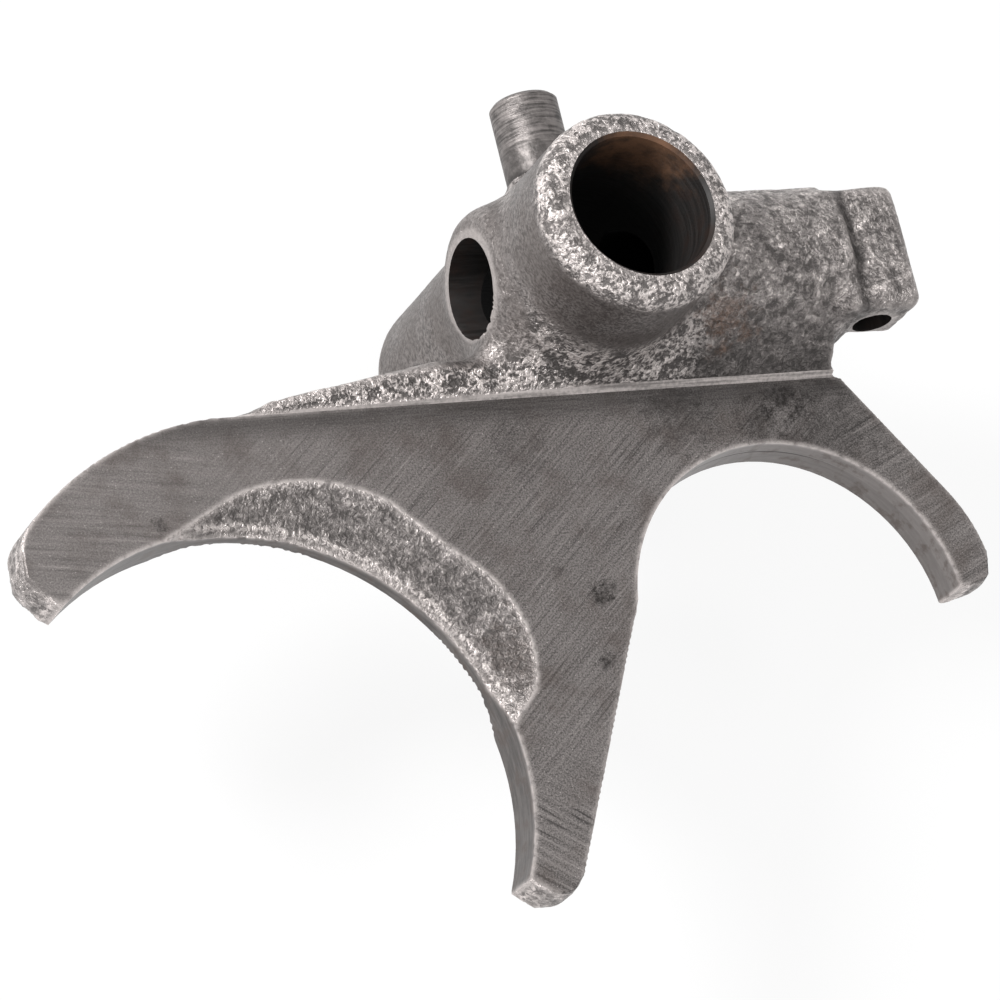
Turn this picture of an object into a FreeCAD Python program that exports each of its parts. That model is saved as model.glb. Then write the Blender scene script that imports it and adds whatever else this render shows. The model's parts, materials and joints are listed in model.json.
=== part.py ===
import FreeCAD, Part
import math
import os

import Sketcher

# Shift fork: one forging with two claws, a hub for the shift rail, a cross barrel and a selector peg.
# Origin: where the axes of the rail bore, the barrel and the peg meet.
# +Z runs along the rail bore towards the milled face, +X along the barrel, +Y up the peg.
# All sizes are in millimetres, all angles in degrees.

SIZES = {
    # hub and rail bore
    "rail_bore": 16.0,
    "hub_diameter": 22.6,
    "hub_front": 20.2,
    "hub_back": 29.2,
    "hub_front_round": 2.2,
    "hub_back_bevel": 1.2,
    "rail_chamfer": 0.4,
    # flared foot where the hub runs into the webs
    "foot_height": 5.5,
    "foot_inset": 0.12,
    "foot_cover": 0.35,
    # cross barrel with the detent bore
    "barrel_diameter": 18.4,
    "barrel_left": 11.7,
    "barrel_right": 31.5,
    "barrel_left_round": 3.2,
    "detent_bore": 11.0,
    "detent_depth": 38.0,
    "drill_half_angle": 59.0,
    # block at the end of the barrel
    "block_right": 38.9,
    "block_top": 6.7,
    "block_bottom": 8.0,
    "block_front": 7.9,
    "block_back": 0.6,
    "block_round": 1.3,
    "groove_place": 32.3,
    "groove_width": 1.6,
    "groove_floor": 7.2,
    "pin_bore": 4.5,
    "pin_place": 34.6,
    "pin_height": 2.85,
    "pin_depth": 9.0,
    # selector peg
    "peg_diameter": 7.7,
    "peg_top": 21.8,
    "peg_chamfer": 0.4,
    "boss_diameter": 10.0,
    "boss_top": 12.2,
    "boss_bevel": 0.9,
    # milled fork plate
    "plate_thickness": 5.3,
    "ledge_drop": 13.0,
    "ledge_bevel": 0.65,
    "web_back": 1.4,
    "web_right": 29.6,
    "web_taper": 2.5,
    "web_end_back": 5.2,
    "rib_left": 44.5,
    "rib_root_drop": 5.35,
    "rib_root_front": 2.3,
    "rib_corner": 1.5,
    "rib_end_height": 0.35,
    "rib_end_front": 0.1,
    # large claw
    "claw_edge_left": 18.4,
    "claw_edge_drop": 25.5,
    "claw_radius": 28.3,
    "claw_start": -24.2,
    "claw_end": 129.6,
    "arm_left": 41.6,
    "arm_rise": 0.3,
    "arm_radius": 35.5,
    "arm_end": 137.5,
    "arm_tip_out": 1.3266,
    "arm_tip_drop": 4.9835,
    # small claw
    "small_claw_right": 18.7,
    "small_claw_drop": 40.2,
    "small_claw_radius": 20.0,
    "finger_right": 25.6,
    "finger_drop": 37.2,
    "finger_radius": 17.7,
    "finger_slope": 34.2,
    "finger_end_drop": 38.7,
    "prong_left": 19.0,
    "prong_left_fall": 13.8,
    "prong_right": 16.2,
    "prong_right_fall": 15.0,
    "prong_root_right": 1.2,
    "prong_root_drop": 32.4,
    "claw_allowance": 2.0,
    "tip_round": 1.2,
    "arm_end_round": 5.0,
    # relief along the large claw
    "relief_depth": 1.8,
    "relief_back_depth": 1.6,
    "relief_lip": 0.6,
    "relief_overrun": 2.0,
    "relief_taper": 0.2,
    "relief_middle": 57.0,
    "relief_start": 9.3,
    "relief_low_knee": 14.8,
    "relief_low": 41.1,
    "relief_high": 56.8,
    "relief_high_knee": 85.4,
    "relief_end": 102.5,
    "relief_low_knee_width": 4.2,
    "relief_low_width": 7.1,
    "relief_high_width": 7.7,
    "relief_high_knee_width": 3.8,
    "relief_low_radius": 13.0,
    "relief_high_radius": 19.7,
    # blends
    "hub_blend": 3.0,
}

doc = FreeCAD.newDocument("shift_fork")
sheet = doc.addObject("Spreadsheet::Sheet", "sizes")
for row, (alias, value) in enumerate(SIZES.items(), start=1):
    sheet.set(f"A{row}", alias)
    sheet.set(f"B{row}", str(value))
    sheet.setAlias(f"B{row}", alias)
doc.recompute()


def size(alias):
    """Value of one driving dimension."""
    return float(sheet.get(alias))


def origin_plane(body, role):
    """One of the body's own origin planes."""
    return next(plane for plane in body.Origin.OriginFeatures if plane.Role == role)


def new_sketch(body, name, role, offset=None):
    """Sketch on an origin plane, moved along the plane's normal by a formula."""
    sketch = body.newObject("Sketcher::SketchObject", name)
    sketch.AttachmentSupport = (origin_plane(body, role), [""])
    sketch.MapMode = "FlatFace"
    if offset:
        sketch.setExpression("AttachmentOffset.Base.z", offset)
    return sketch


def plain_value(quantity):
    """Number behind the result of a formula."""
    return float(getattr(quantity, "Value", quantity))


def arc_between(start, end, radius, side):
    """Arc from start to end, with its centre to the left (side 1) or right (side -1) of that way."""
    chord = end - start
    half = chord.Length / 2
    across = FreeCAD.Vector(-chord.y, chord.x, 0).normalize()
    centre = (start + end) / 2 + across * side * math.sqrt(max(radius ** 2 - half ** 2, 0.0))
    first, last = (start, end) if side > 0 else (end, start)
    angles = [math.atan2(point.y - centre.y, point.x - centre.x) for point in (first, last)]
    return Part.ArcOfCircle(Part.Circle(centre, FreeCAD.Vector(0, 0, 1), radius), *angles)


def draw_outline(sketch, corners):
    """Closed outline. A corner is (x formula, y formula) or (x, y, radius formula, side).

    With a radius, the edge that leaves the corner is an arc.
    """
    points = []
    for corner in corners:
        x_place = plain_value(sketch.evalExpression(corner[0]))
        y_place = plain_value(sketch.evalExpression(corner[1]))
        points.append(FreeCAD.Vector(x_place, y_place, 0))
    ends = []
    for index, corner in enumerate(corners):
        start = points[index]
        end = points[(index + 1) % len(points)]
        if len(corner) == 2:
            edge = sketch.addGeometry(Part.LineSegment(start, end), False)
            ends.append((edge, 1, 2))
        else:
            radius = plain_value(sketch.evalExpression(corner[2]))
            edge = sketch.addGeometry(arc_between(start, end, radius, corner[3]), False)
            ends.append((edge, 1, 2) if corner[3] > 0 else (edge, 2, 1))
    for index, corner in enumerate(corners):
        edge, first, last = ends[index]
        following, following_first, _ = ends[(index + 1) % len(ends)]
        sketch.addConstraint(Sketcher.Constraint("Coincident", edge, last, following, following_first))
        pin_point(sketch, edge, first, corner[0], corner[1], f"corner{index}")
        if len(corner) > 2:
            radius = plain_value(sketch.evalExpression(corner[2]))
            bind_constraint(sketch, Sketcher.Constraint("Radius", edge, radius), f"radius{index}", corner[2])


def bind_constraint(sketch, constraint, name, formula):
    """Add a dimension and tie it to a formula."""
    index = sketch.addConstraint(constraint)
    sketch.renameConstraint(index, name)
    sketch.setExpression(f"Constraints.{name}", formula)


def pin_point(sketch, edge, point, x_formula, y_formula, name):
    """Hold one point of a sketch at a place given by two formulas."""
    for kind, letter, formula in (("DistanceX", "x", x_formula), ("DistanceY", "y", y_formula)):
        place = plain_value(sketch.evalExpression(formula))
        constraint = Sketcher.Constraint(kind, -1, 1, edge, point, place)
        bind_constraint(sketch, constraint, f"{name}{letter}", formula)


def draw_circle(sketch, x_formula, y_formula, radius_formula):
    """Circle held by its centre and radius."""
    centre = FreeCAD.Vector(
        plain_value(sketch.evalExpression(x_formula)), plain_value(sketch.evalExpression(y_formula)), 0)
    radius = plain_value(sketch.evalExpression(radius_formula))
    edge = sketch.addGeometry(Part.Circle(centre, FreeCAD.Vector(0, 0, 1), radius), False)
    pin_point(sketch, edge, 3, x_formula, y_formula, "centre")
    bind_constraint(sketch, Sketcher.Constraint("Radius", edge, radius), "radius", radius_formula)


def add_pad(body, name, sketch, length, reverse=False):
    """Pad a sketch by a length formula."""
    pad = body.newObject("PartDesign::Pad", name)
    pad.Profile = sketch
    pad.Reversed = reverse
    pad.setExpression("Length", length)
    doc.recompute()
    return pad


def add_pocket(body, name, sketch, length, reverse=False):
    """Cut a sketch in by a length formula."""
    pocket = body.newObject("PartDesign::Pocket", name)
    pocket.Profile = sketch
    pocket.Reversed = reverse
    pocket.setExpression("Length", length)
    doc.recompute()
    return pocket


def add_turned(body, kind, name, sketch, axis):
    """Revolution or groove of a sketch about one of its own axes."""
    turned = body.newObject(f"PartDesign::{kind}", name)
    turned.Profile = sketch
    turned.ReferenceAxis = (sketch, [axis])
    turned.Angle = 360
    doc.recompute()
    return turned


def add_loft(body, kind, name, first, second):
    """Ruled loft between two sketches."""
    loft = body.newObject(f"PartDesign::{kind}", name)
    loft.Profile = first
    loft.Sections = [second]
    loft.Ruled = True
    doc.recompute()
    return loft


def pick_edges(shape, test):
    """Names of the edges for which the test holds."""
    return [f"Edge{index}" for index, edge in enumerate(shape.Edges, start=1)
            if not edge.Degenerated and test(edge)]


def dress_edges(body, kind, name, prop, formula, test):
    """Fillet or chamfer on the edges of the last feature that pass the test."""
    base = body.Tip
    names = pick_edges(base.Shape, test)
    dress = body.newObject(f"PartDesign::{kind}", name)
    dress.Base = (base, names)
    dress.setExpression(prop, formula)
    doc.recompute()
    return dress


def sample_points(edge, count=5):
    """Points spread along an edge, its ends left out."""
    first, last = edge.ParameterRange
    return [edge.valueAt(first + (last - first) * step / (count + 1)) for step in range(1, count + 1)]


def is_straight(edge):
    return isinstance(edge.Curve, Part.Line)


TOLERANCE = 0.02
HUB_RADIUS = "sizes.hub_diameter / 2"
BARREL_RADIUS = "sizes.barrel_diameter / 2"
WEB_BACK = "(sizes.plate_thickness + sizes.web_back)"

body = doc.addObject("PartDesign::Body", "shift_fork")
body.Label = "shift_fork"
doc.recompute()

# hub: round section with a rounded front rim and a bevelled rear rim
hub_sketch = new_sketch(body, "hub_section", "XZ_Plane")
draw_outline(hub_sketch, [
    ("0", "-sizes.hub_back"),
    (f"{HUB_RADIUS} - sizes.hub_back_bevel", "-sizes.hub_back"),
    (HUB_RADIUS, "-sizes.hub_back + sizes.hub_back_bevel"),
    (HUB_RADIUS, "sizes.hub_front - sizes.hub_front_round", "sizes.hub_front_round", 1),
    (f"{HUB_RADIUS} - sizes.hub_front_round", "sizes.hub_front"),
    ("0", "sizes.hub_front"),
])
add_turned(body, "Revolution", "hub", hub_sketch, "V_Axis")

# barrel across the hub, rounded at its left mouth
barrel_sketch = new_sketch(body, "barrel_section", "XY_Plane")
draw_outline(barrel_sketch, [
    ("-sizes.barrel_left", "0"),
    ("sizes.barrel_right", "0"),
    ("sizes.barrel_right", BARREL_RADIUS),
    ("-sizes.barrel_left + sizes.barrel_left_round", BARREL_RADIUS, "sizes.barrel_left_round", 1),
    ("-sizes.barrel_left", f"{BARREL_RADIUS} - sizes.barrel_left_round"),
])
add_turned(body, "Revolution", "barrel", barrel_sketch, "H_Axis")


def on_hub_and_barrel(edge):
    """Where the barrel runs out of the hub's side."""
    hub_radius = size("hub_diameter") / 2
    barrel_radius = size("barrel_diameter") / 2
    return not is_straight(edge) and all(
        abs(math.hypot(point.x, point.y) - hub_radius) < TOLERANCE and abs(point.z) < barrel_radius + TOLERANCE
        for point in sample_points(edge))


dress_edges(body, "Fillet", "hub_to_barrel", "Radius", "sizes.hub_blend", on_hub_and_barrel)

# selector peg on top of the hub, on a low boss
boss_sketch = new_sketch(body, "boss_section", "XY_Plane")
draw_outline(boss_sketch, [
    ("0", "0"),
    ("sizes.boss_diameter / 2", "0"),
    ("sizes.boss_diameter / 2", "sizes.boss_top - sizes.boss_bevel"),
    ("sizes.boss_diameter / 2 - sizes.boss_bevel", "sizes.boss_top"),
    ("0", "sizes.boss_top"),
])
add_turned(body, "Revolution", "boss", boss_sketch, "V_Axis")
peg_sketch = new_sketch(body, "peg_section", "XZ_Plane")
draw_circle(peg_sketch, "0", "0", "sizes.peg_diameter / 2")
add_pad(body, "peg", peg_sketch, "sizes.peg_top", reverse=True)

# foot: the hub flares out below, and ends just inside the upper edge of the ledge
FOOT_REACH = f"(sizes.ledge_drop - sizes.ledge_bevel - sizes.foot_inset - {HUB_RADIUS})"
FOOT_RISE = "(sizes.foot_height - sizes.ledge_bevel)"
# both ends of the foot lie inside the barrel
FOOT_END_DROP = f"(sqrt(({BARREL_RADIUS}) ^ 2 - sizes.foot_height ^ 2) - sizes.foot_cover)"
foot_sketch = new_sketch(body, "foot_section", "YZ_Plane")
draw_outline(foot_sketch, [
    ("0", "0"),
    ("0", "sizes.foot_height"),
    (f"-{HUB_RADIUS}", "sizes.foot_height", f"({FOOT_REACH} ^ 2 + {FOOT_RISE} ^ 2) / (2 * {FOOT_REACH})", -1),
    (f"-({HUB_RADIUS} + {FOOT_REACH})", "sizes.ledge_bevel"),
    (f"-({HUB_RADIUS} + {FOOT_REACH})", "0"),
])
foot = add_turned(body, "Revolution", "foot", foot_sketch, "V_Axis")
foot.Midplane = True
foot.setExpression("Angle", f"2 * acos({FOOT_END_DROP} / ({HUB_RADIUS} + {FOOT_REACH}))")
doc.recompute()


def draw_web_section(name, back, offset=None):
    """Section of the right web: a bevelled foot at the ledge, and sides at a tangent to the barrel."""
    sketch = new_sketch(body, name, "YZ_Plane", offset)
    corners = [("-sizes.ledge_drop", "0")]
    front_foot = ("(sizes.ledge_drop - sizes.ledge_bevel)", "sizes.ledge_bevel")
    for drop, depth, sign in ((*front_foot, ""), ("sizes.ledge_drop", back, "-")):
        angle = (f"(180 deg - atan({depth} / {drop})"
                 f" - acos({BARREL_RADIUS} / sqrt({drop} ^ 2 + {depth} ^ 2)))")
        side = [(f"-{drop}", f"{sign}{depth}"),
                (f"{BARREL_RADIUS} * cos({angle})", f"{sign}{BARREL_RADIUS} * sin({angle})")]
        corners += side if not sign else side[::-1]
    draw_outline(sketch, corners)
    return sketch


# right web: runs off the barrel at a tangent, front and back, down to the ledge
web_section = draw_web_section("web_section", WEB_BACK)
add_pad(body, "web", web_section, "sizes.web_right - sizes.web_taper")
web_near = draw_web_section("web_near", WEB_BACK, "sizes.web_right - sizes.web_taper")
web_far = draw_web_section("web_far", "sizes.web_end_back", "sizes.web_right")
add_loft(body, "AdditiveLoft", "web_end", web_near, web_far)


def draw_rib_section(name, offset, top, front, back, bevel, corner):
    """Section of the rib: bevelled at the ledge, with its two upper corners cut off."""
    sketch = new_sketch(body, name, "YZ_Plane", offset)
    draw_outline(sketch, [
        ("-sizes.ledge_drop", "0"),
        (f"{bevel} - sizes.ledge_drop", bevel),
        (f"{top} - {corner}", front),
        (top, f"{front} - {corner}"),
        (top, f"-{back} + {corner}"),
        (f"{top} - {corner}", f"-{back}"),
        ("-sizes.ledge_drop", f"-{back}"),
    ])
    return sketch


# left web: a tapering rib from the hub to the left arm
rib_root = draw_rib_section("rib_root", "0", "-sizes.rib_root_drop", "sizes.rib_root_front",
                            WEB_BACK, "sizes.ledge_bevel", "sizes.rib_corner")
rib_end = draw_rib_section("rib_end", "-sizes.rib_left", "-(sizes.ledge_drop - sizes.rib_end_height)",
                           "sizes.rib_end_front", "sizes.plate_thickness",
                           "sizes.rib_end_front / 2", "sizes.rib_end_height / 3")
add_loft(body, "AdditiveLoft", "rib", rib_root, rib_end)

# centre of the large claw: its right and upper edges keep their places
CLAW_LEFT = "(sizes.claw_edge_left + sizes.claw_radius)"
CLAW_DROP = "(sizes.claw_edge_drop + sizes.claw_radius)"

# fork plate: front face at z = 0. The blank still has stock inside both claws.
CLAW_STOCK = "(sizes.claw_radius - sizes.claw_allowance)"
SMALL_STOCK = "(sizes.small_claw_radius - sizes.claw_allowance)"
ARM_TOP = "-(sizes.ledge_drop - sizes.arm_rise)"
ARM_END = ("-sizes.arm_left + sizes.arm_radius * cos(sizes.arm_end)",
           f"{ARM_TOP} - sizes.arm_radius + sizes.arm_radius * sin(sizes.arm_end)")
ARM_CORNER = (f"{ARM_END[0]} - sizes.arm_tip_out", f"{ARM_END[1]} - sizes.arm_tip_drop")
FINGER_END = ("sizes.finger_right"
              " + sqrt(sizes.finger_radius ^ 2 - (sizes.finger_end_drop - sizes.finger_drop) ^ 2)",
              "-sizes.finger_end_drop")
PRONG_CORNERS = [("-sizes.prong_right", f"-({CLAW_DROP} + sizes.prong_right_fall)"),
                 ("-sizes.prong_left", f"-({CLAW_DROP} + sizes.prong_left_fall)")]
plate_sketch = new_sketch(body, "plate_outline", "XY_Plane")
draw_outline(plate_sketch, [
    # centre prong to left tip, inside the large claw
    (f"-{CLAW_LEFT} + {CLAW_STOCK} * cos(sizes.claw_start)",
     f"-{CLAW_DROP} + {CLAW_STOCK} * sin(sizes.claw_start)", CLAW_STOCK, 1),
    (f"-{CLAW_LEFT} + {CLAW_STOCK} * cos(sizes.claw_end)",
     f"-{CLAW_DROP} + {CLAW_STOCK} * sin(sizes.claw_end)"),
    # left tip and outer edge of the left arm, which runs smoothly into the ledge
    ARM_CORNER,
    (*ARM_END, "sizes.arm_radius", -1),
    ("-sizes.arm_left", ARM_TOP),
    # right end of the ledge and outer edge of the right finger
    ("sizes.finger_right + sizes.finger_radius * cos(sizes.finger_slope)"
     " - (sizes.finger_drop - sizes.ledge_drop - sizes.finger_radius * sin(sizes.finger_slope))"
     " * tan(sizes.finger_slope)", "-sizes.ledge_drop"),
    ("sizes.finger_right + sizes.finger_radius * cos(sizes.finger_slope)",
     "-sizes.finger_drop + sizes.finger_radius * sin(sizes.finger_slope)", "sizes.finger_radius", -1),
    FINGER_END,
    # right tip to centre prong, inside the small claw
    (f"sizes.small_claw_right + sqrt({SMALL_STOCK} ^ 2 - (sizes.finger_end_drop - sizes.small_claw_drop) ^ 2)",
     "-sizes.finger_end_drop", SMALL_STOCK, 1),
    ("sizes.small_claw_right", f"-sizes.small_claw_drop + {SMALL_STOCK}"),
    # straight right side of the centre prong and its lower tip
    ("sizes.prong_root_right", "-sizes.prong_root_drop"),
    *PRONG_CORNERS,
])
add_pad(body, "plate", plate_sketch, "sizes.plate_thickness", reverse=True)


def upright_at(*corners):
    """Test for the plate's upright edges at these corners of its outline."""
    places = [FreeCAD.Vector(*(plain_value(plate_sketch.evalExpression(part)) for part in corner), 0)
              for corner in corners]

    def test(edge):
        middle = FreeCAD.Vector(edge.CenterOfMass.x, edge.CenterOfMass.y, 0)
        return is_straight(edge) and any(middle.distanceToPoint(place) < TOLERANCE for place in places)

    return test


dress_edges(body, "Fillet", "arm_bend", "Radius", "sizes.arm_end_round", upright_at(ARM_END))
dress_edges(body, "Fillet", "tips", "Radius", "sizes.tip_round",
            upright_at(ARM_CORNER, FINGER_END, *PRONG_CORNERS))

# the two claws are bored out to size
claw_sketch = new_sketch(body, "large_claw_circle", "XY_Plane", "sizes.hub_back")
draw_circle(claw_sketch, f"-{CLAW_LEFT}", f"-{CLAW_DROP}", "sizes.claw_radius")
add_pocket(body, "large_claw", claw_sketch, "sizes.hub_back * 2")
small_claw_sketch = new_sketch(body, "small_claw_circle", "XY_Plane", "sizes.hub_back")
draw_circle(small_claw_sketch, "sizes.small_claw_right", "-sizes.small_claw_drop", "sizes.small_claw_radius")
add_pocket(body, "small_claw", small_claw_sketch, "sizes.hub_back * 2")

# block at the end of the barrel
block_sketch = new_sketch(body, "block_section", "YZ_Plane", "sizes.barrel_right - sizes.groove_width")
CORNER = "sizes.block_round"
draw_outline(block_sketch, [
    (f"{CORNER} - sizes.block_bottom", "-sizes.block_back"),
    (f"sizes.block_top - {CORNER}", "-sizes.block_back", CORNER, 1),
    ("sizes.block_top", f"{CORNER} - sizes.block_back"),
    ("sizes.block_top", f"sizes.block_front - {CORNER}", CORNER, 1),
    (f"sizes.block_top - {CORNER}", "sizes.block_front"),
    (f"{CORNER} - sizes.block_bottom", "sizes.block_front", CORNER, 1),
    ("-sizes.block_bottom", f"sizes.block_front - {CORNER}"),
    ("-sizes.block_bottom", f"{CORNER} - sizes.block_back", CORNER, 1),
])
add_pad(body, "block", block_sketch, "sizes.block_right - sizes.barrel_right + sizes.groove_width")


def on_block_end(edge):
    """Rim of the block's end face."""
    return all(abs(point.x - size("block_right")) < TOLERANCE for point in sample_points(edge))


dress_edges(body, "Fillet", "block_end", "Radius", CORNER, on_block_end)

# shallow groove in front, between barrel and block
groove_sketch = new_sketch(body, "groove_section", "XZ_Plane")
draw_outline(groove_sketch, [
    ("sizes.groove_place - sizes.groove_width", BARREL_RADIUS),
    ("sizes.groove_place - sizes.groove_width / 4", "sizes.groove_floor"),
    ("sizes.groove_place + sizes.groove_width / 4", "sizes.groove_floor"),
    ("sizes.groove_place + sizes.groove_width", BARREL_RADIUS),
])
groove = add_pocket(body, "groove", groove_sketch, "sizes.barrel_diameter")
groove.Midplane = True
doc.recompute()


def draw_relief(name, offset, spans, taper):
    """Outline of the relief about the claw's centre. Spans are pairs of angle and width formulas."""
    sketch = new_sketch(body, name, "XY_Plane", offset)
    corners = []
    for angle, width, *arc in spans:
        turned = f"({angle} + (sizes.relief_middle - {angle}) * {taper}) * 1 deg"
        radius = f"(sizes.claw_radius + {width})"
        corners.append((f"-{CLAW_LEFT} + {radius} * cos({turned})",
                        f"-{CLAW_DROP} + {radius} * sin({turned})", *arc))
    draw_outline(sketch, corners)
    return sketch


def cut_relief(name, face, floor):
    """Dish between its outline on a face and a narrow band along the claw, both at given heights."""
    inner = "-sizes.relief_overrun"
    inner_radius = "sizes.claw_radius - sizes.relief_overrun"
    lip = "sizes.relief_lip"
    ridge = "sizes.claw_radius + sizes.relief_lip"
    outline = draw_relief(f"{name}_outline", face, [
        ("sizes.relief_start", inner),
        ("sizes.relief_start", "0"),
        ("sizes.relief_low_knee", "sizes.relief_low_knee_width", "sizes.relief_low_radius", 1),
        ("sizes.relief_low", "sizes.relief_low_width"),
        ("sizes.relief_high", "sizes.relief_high_width", "sizes.relief_high_radius", 1),
        ("sizes.relief_high_knee", "sizes.relief_high_knee_width"),
        ("sizes.relief_end", "0"),
        ("sizes.relief_end", inner, inner_radius, -1),
    ], "0")
    band = draw_relief(f"{name}_band", floor, [
        ("sizes.relief_start", inner),
        ("sizes.relief_start", lip),
        ("sizes.relief_low_knee", lip, ridge, 1),
        ("sizes.relief_low", lip),
        ("sizes.relief_high", lip, ridge, 1),
        ("sizes.relief_high_knee", lip),
        ("sizes.relief_end", lip),
        ("sizes.relief_end", inner, inner_radius, -1),
    ], "sizes.relief_taper")
    add_loft(body, "SubtractiveLoft", name, outline, band)


# reliefs: a dish in each face that runs out at the edge of the large claw
cut_relief("relief", None, "-sizes.relief_depth")
cut_relief("relief_back", "-sizes.plate_thickness", "sizes.relief_back_depth - sizes.plate_thickness")


def on_peg_top(edge):
    """Rim of the peg's end."""
    return not is_straight(edge) and all(
        abs(point.y - size("peg_top")) < TOLERANCE for point in sample_points(edge))


dress_edges(body, "Chamfer", "peg_rim", "Size", "sizes.peg_chamfer", on_peg_top)

# rail bore through the hub, chamfered at both mouths
rail_sketch = new_sketch(body, "rail_bore_section", "XZ_Plane")
RAIL_RADIUS = "sizes.rail_bore / 2"
draw_outline(rail_sketch, [
    ("0", "-sizes.hub_back"),
    (f"{RAIL_RADIUS} + sizes.rail_chamfer", "-sizes.hub_back"),
    (RAIL_RADIUS, "-sizes.hub_back + sizes.rail_chamfer"),
    (RAIL_RADIUS, "sizes.hub_front - sizes.rail_chamfer"),
    (f"{RAIL_RADIUS} + sizes.rail_chamfer", "sizes.hub_front"),
    ("0", "sizes.hub_front"),
])
add_turned(body, "Groove", "rail_bore", rail_sketch, "V_Axis")

# blind detent bore along the barrel, from its left mouth through the rail bore
detent_sketch = new_sketch(body, "detent_bore_section", "XY_Plane")
DETENT_RADIUS = "sizes.detent_bore / 2"
draw_outline(detent_sketch, [
    ("-sizes.barrel_left - sizes.hub_blend", "0"),
    ("sizes.detent_depth - sizes.barrel_left", "0"),
    (f"sizes.detent_depth - sizes.barrel_left - {DETENT_RADIUS} / tan(sizes.drill_half_angle * 1 deg)", DETENT_RADIUS),
    ("-sizes.barrel_left - sizes.hub_blend", DETENT_RADIUS),
])
add_turned(body, "Groove", "detent_bore", detent_sketch, "H_Axis")

# small blind bore in the underside of the block
pin_sketch = new_sketch(body, "pin_bore_section", "XZ_Plane", "sizes.block_bottom")
draw_circle(pin_sketch, "sizes.pin_place", "sizes.pin_height", "sizes.pin_bore / 2")
add_pocket(body, "pin_bore", pin_sketch, "sizes.pin_depth")

body.Placement = FreeCAD.Placement(FreeCAD.Vector(0, 0, 0), FreeCAD.Rotation())
doc.recompute()

for item in doc.Objects:
    if "Invalid" in item.State or "Error" in item.State:
        raise RuntimeError(f"{item.Name} did not build: {item.State}")
    if item.isDerivedFrom("PartDesign::Feature") and (item.Shape.isNull() or not item.Shape.isValid()):
        raise RuntimeError(f"{item.Name} has no valid shape")
if len(body.Shape.Solids) != 1:
    raise RuntimeError(f"{body.Label} is not one solid")

os.makedirs("parts", exist_ok=True)
body.Shape.exportStep(f"parts/{body.Label}.step")
print(f"{body.Label}: {body.Shape.Volume:.0f} mm3, {body.Shape.BoundBox}")
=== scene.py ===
import json
import math

import bmesh
import bpy
import numpy as np
from mathutils import Matrix, Vector, noise
from mathutils.bvhtree import BVHTree
from mathutils.kdtree import KDTree


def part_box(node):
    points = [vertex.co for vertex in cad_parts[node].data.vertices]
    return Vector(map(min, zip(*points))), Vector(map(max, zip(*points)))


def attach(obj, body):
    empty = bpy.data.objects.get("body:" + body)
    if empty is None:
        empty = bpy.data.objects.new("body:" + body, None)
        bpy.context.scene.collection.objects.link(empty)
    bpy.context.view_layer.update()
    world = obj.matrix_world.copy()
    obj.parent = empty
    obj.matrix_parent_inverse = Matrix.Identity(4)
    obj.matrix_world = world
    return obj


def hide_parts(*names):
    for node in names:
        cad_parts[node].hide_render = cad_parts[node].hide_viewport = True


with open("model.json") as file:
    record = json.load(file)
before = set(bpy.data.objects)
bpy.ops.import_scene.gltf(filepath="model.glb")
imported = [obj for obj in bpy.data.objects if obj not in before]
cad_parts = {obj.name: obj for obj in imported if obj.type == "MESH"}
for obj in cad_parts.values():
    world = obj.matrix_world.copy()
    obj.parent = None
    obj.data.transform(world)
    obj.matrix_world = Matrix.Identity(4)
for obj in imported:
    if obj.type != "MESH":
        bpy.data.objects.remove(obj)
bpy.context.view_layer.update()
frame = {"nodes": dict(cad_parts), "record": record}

# All sizes and places are in millimetres in the part's own frame.
MM = 0.001
NODE = "shift_fork"
MOUNTS = {mount["name"]: mount for mount in frame["record"]["mounts"]}


def radius_of(mount):
    """Radius of a round mount."""
    return MOUNTS[mount]["dims"]["r_mm"]


RAIL_RADIUS = radius_of("rail_bore")
DETENT_RADIUS = radius_of("detent_bore")
PIN_RADIUS = radius_of("pin_bore")
PEG_RADIUS = radius_of("selector_peg")
PIN_CENTRE = np.array(MOUNTS["pin_bore"]["pos_m"]) / MM
HUB_BACK, HUB_FRONT = (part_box(NODE)[side].z / MM for side in (0, 1))
HUB_RADIUS = 11.3
BARREL_RADIUS = 9.2
LARGE_CLAW = (-46.7, -53.8, 28.3)
SMALL_CLAW = (18.7, -40.2, 20.0)
LEDGE = -13.0
LEDGE_BEVEL = 0.65
BOSS_TOP = 12.2
BLOCK_BOTTOM = -8.0
GROOVE = 32.3
PLATE_BACK = -5.3
STUB_JUNCTION = (-12.5, -8.5, 3.3)
TIP_CORNERS = ((-69.1, -29.2, 4.0), (-16.2, -68.8, 3.0), (43.2, -38.7, 4.0))

# mesh density and tolerances
VOXEL = 0.33
SNAP_REACH = VOXEL * 0.9
TRIANGLES = 196000
CREASE_ANGLE = math.radians(28)
ON_SURFACE = 0.02
KEEP_NEAR_EDGE = 1.0

# the casting's edges, painted bright as wear and as a painted highlight, and its skin
BLOCK_START = (26, 29)
FRONT_ABOVE = -3
EDGE_BREAK = 0.13
WORN_HIGHLIGHT_WIDTH = 0.4
LIP_INSET = 1.1
LIP_WIDTH = 0.4
WAVE_HEIGHT = 0.07
LUMP_HEIGHT = 0.06
WORM_HEIGHT = 0.07
WORLD_LIGHT = 0.55


# mesh data as arrays
def points_of(mesh):
    flat = np.empty(len(mesh.vertices) * 3)
    mesh.vertices.foreach_get("co", flat)
    return flat.reshape(-1, 3) / MM


def set_points(mesh, points):
    mesh.vertices.foreach_set("co", (points * MM).ravel())
    mesh.update()


def edges_of(mesh):
    flat = np.empty(len(mesh.edges) * 2, int)
    mesh.edges.foreach_get("vertices", flat)
    return flat.reshape(-1, 2)


def normals_of(mesh):
    flat = np.empty(len(mesh.vertices) * 3)
    mesh.vertices.foreach_get("normal", flat)
    return flat.reshape(-1, 3)


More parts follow.
